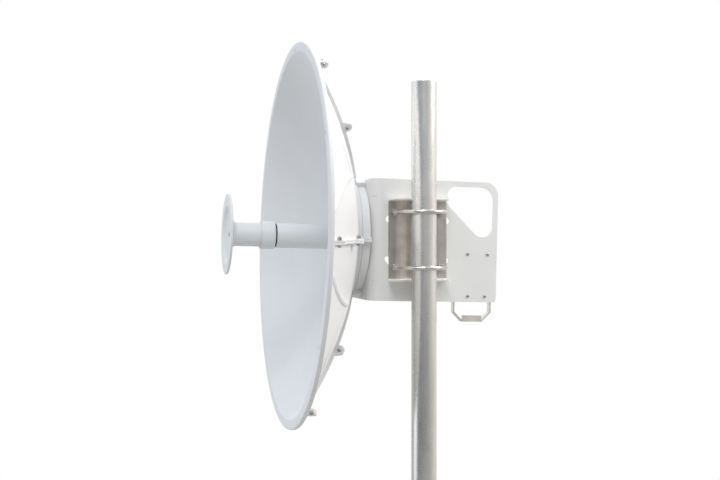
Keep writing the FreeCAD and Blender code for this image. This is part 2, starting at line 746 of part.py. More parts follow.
def radio_stirrup():
    """Cross strip behind the plate's lower screws, legs, slanted arms and lipped base."""
    left = 78.5
    right = 153.5
    base = -155.5
    slant = 17.5
    front = PLATE_BACK_X
    back = front - STIRRUP_WIDTH
    loop = bent_strip([
        (left, -96.0), (left, base + slant), (left + slant, base), (right - slant, base),
        (right, base + slant), (right, -96.0)], STIRRUP_SHEET, (back, front))
    bar = box((front - STIRRUP_SHEET, front), (left, right), (-114.0, -100.0))
    lip = box((front - STIRRUP_SHEET, front), (left + slant, right - slant),
              (base - STIRRUP_SHEET / 2, base + 11.0))
    stirrup = loop.fuse(bar).fuse(lip)
    for y, z in PLATE_SCREWS[2:]:
        start = Vector(front - 6, y, z)
        stirrup = stirrup.cut(rod(1.7, start, start + X_AXIS * 8))
    return stirrup.removeSplitter()


def radio_saddle():
    """Shallow channel behind the upper screws that the radio is strapped to."""
    front = PLATE_BACK_X
    base = box((front - 2, front), (96, 152), (-36, -14))
    low = box((front - 24, front), (96, 98), (-36, -14))
    high = box((front - 24, front), (150, 152), (-36, -14))
    saddle = base.fuse(low).fuse(high)
    for y in (95, 149):
        slot = box((front - 18, front - 12), (y, y + 4), (-31, -19))
        saddle = saddle.cut(slot)
    for y, z in PLATE_SCREWS[:2]:
        start = Vector(front - 6, y, z)
        saddle = saddle.cut(rod(1.7, start, start + X_AXIS * 8))
    return saddle.removeSplitter()


def plate_fasteners():
    screws = []
    nuts = []
    for index, (y, z) in enumerate(PLATE_SCREWS):
        backing = 2.0 if index < 2 else STIRRUP_SHEET
        start = Vector(PLATE_FACE_X, y, z)
        screws.append(button_screw(3.0, 1.8, 1.5, start, X_AXIS * -1, PLATE_SHEET + backing + 4))
        seat = Vector(PLATE_BACK_X - backing, y, z)
        nuts.append(nut(5.5, 1.55, seat, X_AXIS * -1, 2.4))
    return screws, nuts


# ---------------------------------------------------------------- mast clamp

def clamp_channel():
    """Channel whose notched flanges cradle the mast."""
    back = WEB_FACE_X - CHANNEL_SHEET
    tip = WEB_FACE_X + CHANNEL_FLANGE
    half = CHANNEL_WIDTH / 2
    inner_z = CHANNEL_HALF_Z - CHANNEL_SHEET
    outer = box((back, tip), (-half, half), (-CHANNEL_HALF_Z, CHANNEL_HALF_Z))
    bends = [edge for edge in outer.Edges
             if abs(edge.CenterOfMass.x - back) < 0.1 and edge.BoundBox.YLength > 100]
    outer = outer.makeFillet(4.5, bends)
    hollow = box((WEB_FACE_X, tip + 40), (-half - 1, half + 1), (-inner_z, inner_z))
    roots = [edge for edge in hollow.Edges
             if abs(edge.CenterOfMass.x - WEB_FACE_X) < 0.1 and edge.BoundBox.YLength > 100]
    channel = outer.cut(hollow.makeFillet(1.5, roots))
    corners = [edge for edge in channel.Edges
               if abs(edge.CenterOfMass.x - tip) < 0.1 and abs(edge.CenterOfMass.y) > half - 0.1
               and edge.BoundBox.ZLength > CHANNEL_SHEET - 0.1]
    channel = channel.makeFillet(5.0, corners)
    channel = channel.cut(rod(MAST_BORE_R, Z_AXIS * -100, Z_AXIS * 100))
    for y in (-UBOLT_SPACING_Y / 2, UBOLT_SPACING_Y / 2):
        for z in (-UBOLT_Z, UBOLT_Z):
            start = Vector(back - 2, y, z)
            channel = channel.cut(rod(UBOLT_ROD_R + 0.5, start, start + X_AXIS * 8))
    return channel


def u_bolt(height):
    """Round U-bolt whose crown bears on the front of the mast."""
    radius = UBOLT_SPACING_Y / 2
    centre_x = MAST_BORE_R + UBOLT_ROD_R - radius
    near = Vector(UBOLT_TAIL_X, -radius, height)
    far = Vector(UBOLT_TAIL_X, radius, height)
    turn_near = Vector(centre_x, -radius, height)
    turn_far = Vector(centre_x, radius, height)
    crown = Vector(centre_x + radius, 0, height)
    spine = Part.Wire([
        Part.makeLine(near, turn_near),
        Part.Arc(turn_near, crown, turn_far).toShape(),
        Part.makeLine(turn_far, far)])
    section = Part.Wire(Part.makeCircle(UBOLT_ROD_R, near, X_AXIS))
    bolt = spine.makePipeShell([section], True, False)
    tips = [edge for edge in bolt.Edges if abs(edge.CenterOfMass.x - UBOLT_TAIL_X) < 0.1]
    return bolt.makeChamfer(1.0, tips)


def clamp_fasteners():
    """Jam nuts in front of the web, wide washers and nuts behind the plate."""
    front_nuts = []
    washers = []
    rear_nuts = []
    washer_face = PLATE_BACK_X - RUN_GAP
    for y in (-UBOLT_SPACING_Y / 2, UBOLT_SPACING_Y / 2):
        for z in (-UBOLT_Z, UBOLT_Z):
            web = Vector(WEB_FACE_X, y, z)
            back = Vector(washer_face, y, z)
            front_nuts.append(nut(13.0, UBOLT_ROD_R + 0.05, web, X_AXIS, 5.0))
            washers.append(washer(12.0, UBOLT_ROD_R + 0.2, back, X_AXIS * -1, 2.0))
            seat = back - X_AXIS * 2.0
            rear_nuts.append(nut(13.0, UBOLT_ROD_R + 0.05, seat, X_AXIS * -1, 6.5))
    return front_nuts, washers, rear_nuts


# ---------------------------------------------------------------- assembly

def clamp_nodes():
    front_nuts, washers, rear_nuts = clamp_fasteners()
    return {
        "clamp_channel": clamp_channel(),
        "u_bolt_upper": u_bolt(UBOLT_Z),
        "u_bolt_lower": u_bolt(-UBOLT_Z),
        "clamp_jam_nuts": group(front_nuts),
        "clamp_washers": group(washers),
        "clamp_nuts": group(rear_nuts)}


def reflector_nodes():
    nodes = {}
    blank = petal_blank()
    for index in range(PETALS):
        nodes["petal_%d" % (index + 1)] = at_dish(turned(blank, seam_angle(index)))
    bolts, washers, nuts = seam_fasteners()
    nodes["seam_bolts"] = group(bolts)
    nodes["seam_washers"] = group(washers)
    nodes["seam_nuts"] = group(nuts)
    seats = [point - Y_AXIS * SHEET for point in petal_bolt_points()]
    bolts, nuts = bolted_ring(seats, 8.0, 3.5, 2.5, SHEET + DRUM_SHEET, 6.0)
    nodes["petal_bolts"] = group(bolts)
    nodes["petal_nuts"] = group(nuts)
    return nodes


def hub_nodes():
    nodes = {"hub_drum": at_dish(hub_drum()), "bracket_plate": bracket_plate()}
    bolts, washers, nuts = bracket_fasteners()
    nodes["bracket_bolts"] = group(bolts)
    nodes["bracket_washers"] = group(washers)
    nodes["bracket_nuts"] = group(nuts)
    seats = [point - Y_AXIS * DRUM_SHEET for point in feed_plate_points()]
    bolts, nuts = bolted_ring(seats, 10.0, 4.0, 3.0, 2 * DRUM_SHEET, 7.0)
    nodes["feed_plate"] = at_dish(feed_plate())
    nodes["feed_plate_bolts"] = group(bolts)
    nodes["feed_plate_nuts"] = group(nuts)
    return nodes


def feed_nodes():
    flange_screws = []
    for point in feed_flange_points():
        seat = point - Y_AXIS * 5
        flange_screws.append(at_dish(button_screw(4.2, 2.6, 2.5, seat, Y_AXIS, 14.0)))
    transition_screws = []
    for point in transition_points():
        transition_screws.append(at_dish(button_screw(4.2, 2.6, 2.5, point, Y_AXIS * -1, 9.0)))
    shells, insulators, contacts = connectors()
    return {
        "feed_rear_tube": rear_tube(),
        "feed_flange": at_dish(feed_flange()),
        "feed_flange_screws": group(flange_screws),
        "feed_seal": feed_seal(),
        "feed_collar": feed_collar(),
        "feed_front_tube": front_tube(),
        "feed_plug": feed_plug(),
        "sub_reflector": sub_reflector(),
        "sub_reflector_screw": sub_screw(),
        "transition_body": transition(),
        "transition_cap": transition_cap(),
        "transition_screws": group(transition_screws),
        "connector_shells": group(shells),
        "connector_insulators": group(insulators),
        "connector_contacts": group(contacts)}


def holder_nodes():
    screws, nuts = plate_fasteners()
    return {
        "radio_saddle": radio_saddle(),
        "radio_stirrup": radio_stirrup(),
        "plate_screws": group(screws),
        "plate_screw_nuts": group(nuts)}


def main():
    os.makedirs("parts", exist_ok=True)
    tilting = {}
    for nodes in (reflector_nodes(), hub_nodes(), feed_nodes(), holder_nodes()):
        tilting.update(nodes)
    for shape in tilting.values():
        shape.rotate(ORIGIN, X_AXIS, -REST_ELEVATION)
    nodes = clamp_nodes()
    nodes.update(tilting)
    for name, shape in nodes.items():
        shape.exportStep("parts/%s.step" % name)
        volume = shape.Volume / 1000
        print("%-22s solids %2d  valid %s  %.1f cm3" % (name, len(shape.Solids), shape.isValid(), volume))


main()
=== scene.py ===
"""Looks of the satellite dish: materials, finished pieces, mast, floor, lights and camera.

Metres, in the CAD model's frame: the origin is on the mast's axis at the elevation axis. The
dish's own pieces are drawn in millimetres about its axis, as (radius, depth) sections, where depth
runs back from the rim plane, and DISH carries them into place. The clamp's are drawn in
millimetres about the origin, and CLAMP scales them.
"""
import json
import math

import bmesh
import bpy
from mathutils import Matrix, Vector


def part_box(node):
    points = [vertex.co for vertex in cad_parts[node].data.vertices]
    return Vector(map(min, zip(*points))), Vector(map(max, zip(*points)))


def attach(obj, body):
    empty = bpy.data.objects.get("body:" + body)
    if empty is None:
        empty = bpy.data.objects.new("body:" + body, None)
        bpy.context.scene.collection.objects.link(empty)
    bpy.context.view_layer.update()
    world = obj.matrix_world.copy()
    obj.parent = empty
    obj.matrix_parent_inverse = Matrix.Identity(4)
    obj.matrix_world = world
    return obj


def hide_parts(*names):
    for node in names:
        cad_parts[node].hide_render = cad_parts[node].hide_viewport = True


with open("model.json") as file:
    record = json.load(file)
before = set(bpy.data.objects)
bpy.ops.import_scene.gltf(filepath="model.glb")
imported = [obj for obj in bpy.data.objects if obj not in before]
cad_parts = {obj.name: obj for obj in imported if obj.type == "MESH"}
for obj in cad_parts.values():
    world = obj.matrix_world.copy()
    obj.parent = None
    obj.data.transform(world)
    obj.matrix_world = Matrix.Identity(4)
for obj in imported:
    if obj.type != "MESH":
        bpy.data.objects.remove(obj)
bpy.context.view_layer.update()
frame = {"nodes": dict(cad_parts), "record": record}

MM = 0.001

scene = bpy.context.scene
scene.view_settings.view_transform = "Standard"

# ---------------------------------------------------------------- places taken from the frame

SLOT_OF = {part["node"]: part["material_slot"] for part in frame["record"]["subparts"]}
BODY_OF = {node: body for body, nodes in frame["record"]["behaviour"]["bodies"].items()
           for node in nodes}


def middle(node):
    low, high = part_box(node)
    return (low + high) / 2


def dish_matrix(hub_depth):
    """Places (x, depth, z) millimetres about the dish's axis in the tilted dish's position."""
    back = (middle("transition_cap") - middle("sub_reflector_screw")).normalized()
    right = Vector((1, 0, 0))
    basis = Matrix((right, back, right.cross(back))).transposed().to_4x4()
    place = Matrix.Translation(middle("hub_drum")) @ basis
    return place @ Matrix.Scale(MM, 4) @ Matrix.Translation((0, -hub_depth, 0))


DRUM_FRONT = 119.0
DRUM_REAR = 137.0
DISH = dish_matrix((DRUM_FRONT + DRUM_REAR) / 2)
CLAMP = Matrix.Scale(MM, 4)
SAME_PLACE = 1e-4         # millimetres within which two corners of a mesh are one

# Reflector, in millimetres
DISH_R = 380.0
BOWL_R = 361.0
BOWL_DEPTH = 123.0
SHEET = 3.0
SKIRT = 8.0
INNER_R = 120.0
LAND_R = 97.0
PETALS = 6
PETAL_DEG = 360.0 / PETALS
SEAM_ROLL = 2.0
SEAM_GAP = 0.04
SEAM_WALL = 4.1
SEAM_FLANGE = 7.5
EAR_R = 10.0
EARS = ((245.0, 12.0), (369.0, 15.5))    # radius, height of the screw above the sheet
BEAD_HALF_WIDTH = 5.6
BEAD_HEIGHT = 4.0
BEAD_FULLNESS = 0.6       # power of the crown's cosine: lower is flatter on top
BEAD_SINK = 0.3           # how far the bead's foot lies below the sheet's back
DRAIN_R = 2.0
DRAIN_CIRCLE_R = BOWL_R + 4.0
PETAL_STEPS = 44
COLLAR_R = (115.5, 118.5)
COLLAR_END = 4.5
COLLAR_END_R = 129.0
COLLAR_NECK = (116.8, 121.6)    # radius and rear end of the groove in front of the collar's wall

# Feed, in millimetres
REAR_TUBE_R = 24.5
FRONT_TUBE_R = 23.2
SPIGOT_R = 21.8
REAR_BORE_R = 22.0
FRONT_BORE_R = 20.5
SPIGOT_BORE_R = 19.5
SPIGOT_BORE_REAR = -20.0
REAR_TUBE_END = 150.0
TUBE_JOINT = -50.0
FRONT_TUBE_END = -106.0
GROOVE_REAR = -26.9
SEAL_R = 23.0
RING_R = 27.6
RING_REAR = -30.1
RING_FRONT = -59.3
RING_LIP_R = FRONT_TUBE_R + 1.6
RING_LIP_REAR = RING_FRONT + 1.2
FLARE_R = 10.0
FLARE_LENGTH = 8.0
SUB_R = 79.0
SUB_FACE = -125.0
SUB_BACK = SUB_FACE + 10.5

# U-bolts, in millimetres
ROD_R = 4.0
UBOLT_HALF = 46.5
UBOLT_Z = 53.0
UBOLT_TAIL_X = -72.0
THREAD_END_X = -14.0
THREAD_PITCH = 1.25
THREAD_DEPTH = 0.62
THREAD_STEPS = 6          # rings in one turn of the thread
THREAD_RUN_OUT = 1.2
TAIL_CHAMFER = 1.0

# Stage, in metres
MAST_R = 24.15 * MM
MAST_TOP = 0.299
FLOOR_Z = -0.9
FLOOR_R = 1.8
FLOOR_THICKNESS = 0.03
CAMERA_PLACE = (1.9532, -0.6116, 0.0)
CAMERA_TURN_DEG = 76.0
CAMERA_LENS = 54.0
SENSOR_WIDTH = 36.0

# Surroundings: the direction in which they are dimmest, and how bright they are there
DIM_SIDE = (0.80, -0.19, -0.57)
DIM_STRENGTH = 0.33

# Area lights: name, place, target, diameter, watts, colour
LIGHTS = (
    ("key", (2.1, -0.7, 2.6), (-0.05, -0.05, 0.0), 1.6, 38.0, (0.97, 0.985, 1.0)),
    ("front_fill", (-0.5, -2.6, 1.5), (-0.16, -0.15, -0.1), 2.0, 9.5, (0.80, 0.91, 1.0)),
    ("front_low", (-0.5, -2.3, -1.0), (-0.16, -0.15, 0.1), 1.6, 7.5, (1.0, 0.97, 0.93)),
    ("front_panel", (0.15, -2.0, 0.0), (0.0, 0.0, 0.0), 1.2, 2.4, (1.0, 0.985, 0.96)),
    ("rear_fill", (0.45, 1.85, 1.4), (-0.1, -0.1, -0.05), 1.2, 36.0, (1.0, 0.978, 0.93)),
)

# ---------------------------------------------------------------- node helpers

class Nodes:
    """Builds one procedural material's node tree."""

    def __init__(self, name):
        self.material = bpy.data.materials.new(name)
        self.material.use_nodes = True
        self.tree = self.material.node_tree
        self.shader = self.tree.nodes["Principled BSDF"]
        self.place = self.add("ShaderNodeTexCoord").outputs["Object"]

    def add(self, kind, **settings):
        node = self.tree.nodes.new(kind)
        for name, value in settings.items():
            setattr(node, name, value)
        return node

    def join(self, output, socket):
        self.tree.links.new(output, socket)

    def stretched(self, scale):
        """Object coordinates scaled differently along each axis."""
        mapping = self.add("ShaderNodeMapping")
        mapping.inputs["Scale"].default_value = scale
        self.join(self.place, mapping.inputs["Vector"])
        return mapping.outputs["Vector"]

    def noise(self, scale, detail=3.0, roughness=0.55, where=None):
        node = self.add("ShaderNodeTexNoise")
        node.inputs["Scale"].default_value = scale
        node.inputs["Detail"].default_value = detail
        node.inputs["Roughness"].default_value = roughness
        self.join(where or self.place, node.inputs["Vector"])
        return node.outputs["Fac"]

    def along(self, axis, start, end, *stops):
        """Colour ramp along one of the piece's own axes, from start to end in metres."""
        split = self.add("ShaderNodeSeparateXYZ")
        self.join(self.place, split.inputs["Vector"])
        spread = self.add("ShaderNodeMapRange")
        spread.inputs["From Min"].default_value = start
        spread.inputs["From Max"].default_value = end
        self.join(split.outputs[axis], spread.inputs["Value"])
        return self.ramp(spread.outputs["Result"], *stops)

    def spots(self, scale):
        """Distance to the nearest of many scattered points."""
        node = self.add("ShaderNodeTexVoronoi")
        node.inputs["Scale"].default_value = scale
        self.join(self.place, node.inputs["Vector"])
        return node.outputs["Distance"]

    def ramp(self, value, *stops):
        """Colour ramp through (position, colour or grey) stops."""
        node = self.add("ShaderNodeValToRGB")
        ramp = node.color_ramp
        while len(ramp.elements) < len(stops):
            ramp.elements.new(0.5)
        for element, (position, colour) in zip(ramp.elements, stops):
            element.position = position
            if not isinstance(colour, tuple):
                colour = (colour, colour, colour)
            element.color = (*colour, 1.0)
        self.join(value, node.inputs["Fac"])
        return node.outputs["Color"]

    def mix(self, factor, first, second, mode="MIX"):
        node = self.add("ShaderNodeMix", data_type="RGBA", blend_type=mode)
        for value, socket in ((factor, node.inputs["Factor"]),
                              (first, node.inputs[6]), (second, node.inputs[7])):
            if isinstance(value, bpy.types.NodeSocket):
                self.join(value, socket)
            elif isinstance(value, tuple):
                socket.default_value = (*value, 1.0)
            else:
                socket.default_value = value
        return node.outputs[2]

    def colour(self, value):
        self.join(value, self.shader.inputs["Base Color"])

    def rough(self, value):
        self.join(value, self.shader.inputs["Roughness"])

    def bump(self, height, strength, distance):
        """Adds a bump; calling it again stacks another under the first."""
        node = self.add("ShaderNodeBump")
        node.inputs["Strength"].default_value = strength
        node.inputs["Distance"].default_value = distance
        self.join(height, node.inputs["Height"])
        socket = self.shader.inputs["Normal"]
        if socket.is_linked:
            self.join(socket.links[0].from_socket, node.inputs["Normal"])
        self.join(node.outputs["Normal"], socket)


# Powder coat: shares of its tint in its lightest and darkest clouds and in the dust on it
CLOUD_LIGHT = 1.012
CLOUD_DARK = 0.972
DUST_TINT = (1.0, 0.985, 0.955)
DUST_DARK = 0.86

# Clamp channel, in metres from its middle: how far its bands of painted light and shade reach, and
# half its height
CHANNEL_PAINTED_LIGHT_REACH = 0.06
CHANNEL_HALF_HEIGHT = 0.079

# Bare metal: how much its roughness varies
BARE_ROUGHNESS_SPREAD = 0.12


def shaded(tint, share):
    return tuple(channel * share for channel in tint)


def powder_coat(name, tint, grain, roughness, dust):
    """Powder-coated sheet: orange-peel grain, faint clouding, dust in patches."""
    made = Nodes(name)
    cloud = made.noise(scale=9.0, detail=4.0)
    fine = made.noise(scale=grain, detail=2.0)
    speck = made.spots(scale=260.0)
    base = made.ramp(cloud, (0.35, shaded(tint, CLOUD_DARK)), (0.65, shaded(tint, CLOUD_LIGHT)))
    dusty = tuple(channel * share for channel, share in zip(tint, DUST_TINT))
    grime = shaded(dusty, DUST_DARK)
    clumps = made.noise(scale=26.0, detail=6.0, roughness=0.7)
    patches = made.ramp(clumps, (0.6, 0.0), (0.78, dust))
    base = made.mix(patches, base, grime)
    dots = made.ramp(speck, (0.02, 0.35 * dust), (0.05, 0.0))
    made.colour(made.mix(dots, base, grime))
    made.rough(made.ramp(cloud, (0.3, roughness - 0.05), (0.7, roughness + 0.06)))
    made.bump(fine, strength=0.22, distance=0.0004)
    made.shader.inputs["Specular IOR Level"].default_value = 0.42
    return made.material


def streaked(made, streak):
    """Lines stretched by the streak's scales, and the same lines mixed with cloudy patches."""
    lines = made.noise(scale=1.0, detail=5.0, roughness=0.6, where=made.stretched(streak))
    cloud = made.noise(scale=38.0, detail=5.0, roughness=0.65)
    return lines, made.mix(0.5, lines, cloud)


def bare_metal(name, dark, light, roughness, streak):
    """Bare metal with stretched or even mottling, cloudy patches and fine scratches."""
    made = Nodes(name)
    lines, blend = streaked(made, streak)
    made.colour(made.ramp(blend, (0.38, dark), (0.62, light)))
    half = BARE_ROUGHNESS_SPREAD / 2
    made.rough(made.ramp(blend, (0.35, roughness - half), (0.65, roughness + half)))
    made.bump(lines, strength=0.25, distance=0.0002)
    made.bump(made.noise(scale=900.0, detail=2.0), strength=0.12, distance=0.0001)
    made.shader.inputs["Metallic"].default_value = 1.0
    return made.material


def channel_metal(name):
    """Rolled steel of the clamp channel, with painted light and shade: painted shade towards its
    edges and beside the mast, one lighter lengthwise band of painted light, and painted highlights
    on its lips.
    """
    made = Nodes(name)
    lines, blend = streaked(made, (160.0, 160.0, 6.0))
    base = made.ramp(blend, (0.38, (0.72, 0.66, 0.61)), (0.62, (0.98, 0.93, 0.87)))
    # Painted light and shade across the web: a lighter band stands in for light reflected from the
    # mast, and darker stretches stand in for the mast's shade
    painted_light_bands = made.along(
        "Y", -CHANNEL_PAINTED_LIGHT_REACH, CHANNEL_PAINTED_LIGHT_REACH, (0.0, 0.5), (0.12, 0.54), (0.2, 0.9),
        (0.29, 0.93), (0.38, 0.72), (0.7, 0.56), (1.0, 0.62))
    web_with_painted_light = made.mix(1.0, base, painted_light_bands, "MULTIPLY")
    # Painted highlights: the flanges' lips are painted near-white, standing in for the light from
    # above that they catch
    painted_lip_highlights = made.along(
        "Z", -CHANNEL_HALF_HEIGHT, CHANNEL_HALF_HEIGHT, (0.026, 1.0), (0.032, 0.0),
        (0.968, 0.0), (0.974, 1.0))
    made.colour(made.mix(painted_lip_highlights, web_with_painted_light, (0.97, 0.95, 0.92)))
    made.rough(made.ramp(blend, (0.35, 0.42), (0.65, 0.56)))
    made.bump(lines, strength=0.25, distance=0.0002)
    made.shader.inputs["Metallic"].default_value = 1.0
    return made.material


def smooth_plastic(name, tint, roughness):
    """Moulded plastic: faint clouding and a fine moulded grain."""
    made = Nodes(name)
    cloud = made.noise(scale=30.0, detail=3.0)
    made.colour(made.ramp(cloud, (0.35, shaded(tint, 0.93)), (0.65, tint)))
    made.rough(made.ramp(cloud, (0.3, roughness - 0.06), (0.7, roughness + 0.06)))
    made.bump(made.noise(scale=1400.0, detail=2.0), strength=0.15, distance=0.0001)
    return made.material


def make_materials():
    """The materials of the CAD model's slots."""
    reflector_white = (0.80, 0.80, 0.81)
    feed_white = (0.80, 0.81, 0.815)
    even = Vector((1.0, 1.0, 1.0))
    recipes = {
        "reflector_plastic": (powder_coat, reflector_white, 1500.0, 0.4, 0.08),
        "drum_paint": (powder_coat, (0.70, 0.71, 0.715), 1500.0, 0.45, 0.2),
        "bracket_paint": (powder_coat, (0.80, 0.80, 0.785), 1300.0, 0.5, 0.16),
        "feed_paint": (powder_coat, feed_white, 1600.0, 0.4, 0.06),
        "sub_reflector_paint": (powder_coat, feed_white, 1600.0, 0.4, 0.06),
        "feed_dielectric": (smooth_plastic, (0.82, 0.82, 0.80), 0.45),
        "seal_rubber": (smooth_plastic, (0.02, 0.02, 0.021), 0.7),
        "channel_steel": (channel_metal,),
        "zinc_rod": (bare_metal, (0.52, 0.5, 0.47), (0.72, 0.7, 0.66), 0.2, even * 90),
        "zinc_fasteners": (bare_metal, (0.46, 0.45, 0.43), (0.68, 0.67, 0.64), 0.22, even * 400),
        # dish_fasteners: darker than the clamp's zinc, partly as painted shade for the seam bolts
        # that sit in shadow under the flanges
        "dish_fasteners": (bare_metal, (0.38, 0.38, 0.37), (0.56, 0.56, 0.55), 0.3, even * 400),
        "cast_aluminium": (bare_metal, (0.5, 0.51, 0.52), (0.66, 0.67, 0.68), 0.55, even * 120),
        "connector_nickel": (bare_metal, (0.6, 0.58, 0.53), (0.74, 0.72, 0.66), 0.22, even * 500),
        "connector_brass": (bare_metal, (0.66, 0.47, 0.17), (0.82, 0.62, 0.28), 0.28, even * 500),
        "holder_steel": (bare_metal, (0.74, 0.71, 0.64), (0.86, 0.84, 0.78), 0.38, even * 20),
    }
    return {name: make(name, *settings) for name, (make, *settings) in recipes.items()}


MATERIALS = make_materials()
for node_name, node_object in frame["nodes"].items():
    node_object.data.materials.clear()
    node_object.data.materials.append(MATERIALS[SLOT_OF[node_name]])


# ---------------------------------------------------------------- mesh helpers

def piece(name, mesh, *nodes):
    """Shown piece that stands for CAD nodes: rides on their body, takes their finish."""
    mesh.materials.clear()
    mesh.materials.append(MATERIALS[SLOT_OF[nodes[0]]])
    made = bpy.data.objects.new(name, mesh)
    scene.collection.objects.link(made)
    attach(made, BODY_OF[nodes[0]])
    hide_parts(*nodes)


def evaluated(mesh, *steps):
    """The mesh after a stack of modifiers, each given as (kind, settings)."""
    helper = bpy.data.objects.new("helper", mesh)
    scene.collection.objects.link(helper)
    for kind, settings in steps:
        modifier = helper.modifiers.new(kind, kind)
        for name, value in settings.items():
            setattr(modifier, name, value)
    graph = bpy.context.evaluated_depsgraph_get()
    made = bpy.data.meshes.new_from_object(helper.evaluated_get(graph))
    bpy.data.objects.remove(helper)
    return made


def bevelled(mesh, width, segments=2, degrees=32.0):
    """Round the mesh's sharp edges; flat faces keep their flat shading."""
    for face in mesh.polygons:
        face.use_smooth = True
    return evaluated(
        mesh,
        ("BEVEL", {"width": width, "segments": segments, "limit_method": "ANGLE",
                   "angle_limit": math.radians(degrees), "harden_normals": True}),
        ("WEIGHTED_NORMAL", {"keep_sharp": True}))


def softened(node, width, segments=2):
    """Show a CAD node with its edges rounded to the width in millimetres."""
    source = frame["nodes"][node].data
    copy = bpy.data.meshes.new(node)
    copy.from_pydata([vertex.co[:] for vertex in source.vertices], [],
                     [face.vertices[:] for face in source.polygons])
    flat = evaluated(
        copy,
        ("WELD", {"merge_threshold": 0.01 * MM}),
        ("DECIMATE", {"decimate_type": "DISSOLVE", "angle_limit": math.radians(0.4)}))
    piece(node + "_shown", bevelled(flat, width * MM, segments), node)


def mesh_from(bm, matrix=Matrix.Identity(4), sharp_degrees=36.0):
    """Finished smooth mesh, with creases only where faces meet at more than sharp_degrees."""
    bmesh.ops.recalc_face_normals(bm, faces=bm.faces)
    mesh = bpy.data.meshes.new("mesh")
    bm.to_mesh(mesh)
    bm.free()
    mesh.transform(matrix)
    for face in mesh.polygons:
        face.use_smooth = True
    mesh.set_sharp_from_angle(angle=math.radians(sharp_degrees))
    return mesh


def rounded(corners, steps=5):
    """Points round a closed outline of (x, y, radius) corners, with an arc at each radius."""
    points = []
    for index, (x, y, radius) in enumerate(corners):
        here = Vector((x, y))
        if radius == 0:
            points.append(here)
            continue
        back = (Vector(corners[index - 1][:2]) - here).normalized()
        ahead = (Vector(corners[(index + 1) % len(corners)][:2]) - here).normalized()
        half = back.angle(ahead) / 2
        centre = here + (back + ahead).normalized() * (radius / math.sin(half))
        start = here + back * (radius / math.tan(half)) - centre
        end = here + ahead * (radius / math.tan(half)) - centre
        for step in range(steps + 1):
            turn = start.lerp(end, step / steps)
            points.append(centre + turn.normalized() * radius)
    return points


def around(radius, depth, angle):
    """Place at a radius and angle about the depth axis."""
    return (radius * math.cos(angle), depth, radius * math.sin(angle))


def revolve(profile, start=0.0, sweep=360.0, steps=128):
    """Solid of revolution about the depth axis from a closed (radius, depth) profile."""
    bm = bmesh.new()
    full = sweep == 360.0
    rings = []
    for step in range(steps if full else steps + 1):
        angle = math.radians(start + sweep * step / steps)
        rings.append([bm.verts.new(around(radius, depth, angle)) for radius, depth in profile])
    pairs = list(zip(rings, rings[1:]))
    if full:
        pairs.append((rings[-1], rings[0]))
    else:
        bm.faces.new(rings[0])
        bm.faces.new(rings[-1])
    for here, there in pairs:
        for index in range(len(profile)):
            bm.faces.new((here[index - 1], here[index], there[index], there[index - 1]))
    bmesh.ops.remove_doubles(bm, verts=bm.verts, dist=SAME_PLACE)
    return bm


def slab(outline, low, high):
    """Solid between z=low and z=high over a closed (x, depth) outline."""
    bm = bmesh.new()
    lower = [bm.verts.new((x, depth, low)) for x, depth in outline]
    upper = [bm.verts.new((x, depth, high)) for x, depth in outline]
    bm.faces.new(lower)
    bm.faces.new(upper)
    for index in range(len(outline)):
        bm.faces.new((lower[index - 1], lower[index], upper[index], upper[index - 1]))
    bmesh.ops.recalc_face_normals(bm, faces=bm.faces)
    return bm


def joined(meshes):
    """One mesh out of several."""
    bm = bmesh.new()
    for mesh in meshes:
        bm.from_mesh(mesh)
    made = bpy.data.meshes.new("joined")
    bm.to_mesh(made)
    bm.free()
    return made


def spun(mesh, degrees):
    """Copy turned about the dish's axis; positive takes +X towards +Z."""
    copy = mesh.copy()
    copy.transform(Matrix.Rotation(math.radians(-degrees), 4, "Y"))
    return copy


# ---------------------------------------------------------------- reflector

def bowl_depth(radius):
    return BOWL_DEPTH * (1 - (min(radius, BOWL_R) / BOWL_R) ** 2)


def bowl_points(start, end, offset, count=56):
    """(radius, depth) points along the bowl, offset back from its front face."""
    points = []
    for index in range(count + 1):
        radius = start + (end - start) * index / count
        points.append((radius, bowl_depth(radius) + offset, 0))
    return points


def petal_wall():
    """Wall of one petal with its rim, skirt, step and land, and the drain hole in its rim."""
    step_r = INNER_R + SHEET
    land = DRUM_FRONT - SHEET
    front_room = 5.0    # left for the fillets at the ends of the bowl's two faces
    back_room = 4.0
    corners = [(LAND_R, land, 0.8), (INNER_R, land, 1.6), (INNER_R, bowl_depth(INNER_R), 2.2)]
    corners += bowl_points(INNER_R + front_room, BOWL_R - front_room, 0.0)
    corners += [(BOWL_R, 0.0, 3.5), (DISH_R, 0.0, 2.4), (DISH_R, SKIRT, 0.9)]
    corners += [(DISH_R - SHEET, SKIRT, 0.9), (DISH_R - SHEET, SHEET, 1.2), (BOWL_R, SHEET, 3.5)]
    corners += bowl_points(BOWL_R - front_room, step_r + back_room, SHEET)
    corners += [(step_r, bowl_depth(step_r) + SHEET, 1.2), (step_r, DRUM_FRONT, 0.8)]
    corners += [(LAND_R, DRUM_FRONT, 0.8)]
    gap = math.degrees(SEAM_GAP / BOWL_R)
    wall = mesh_from(revolve(rounded(corners), gap, PETAL_DEG - 2 * gap, PETAL_STEPS))
    cutter = bpy.data.objects.new("drain", mesh_from(drain_plug()))
    scene.collection.objects.link(cutter)
    wall = evaluated(wall, ("BOOLEAN", {"operation": "DIFFERENCE", "object": cutter}))
    bpy.data.objects.remove(cutter)
    return wall


def drain_plug():
    """Cylinder that cuts the drain hole at the middle of a petal's rim."""
    front = -3.0
    rear = 7.0
    bm = revolve([(0, front), (DRAIN_R, front), (DRAIN_R, rear), (0, rear)], steps=24)
    middle_of_rim = around(DRAIN_CIRCLE_R, 0, math.radians(PETAL_DEG / 2))
    bmesh.ops.translate(bm, verts=bm.verts, vec=middle_of_rim)
    return bm


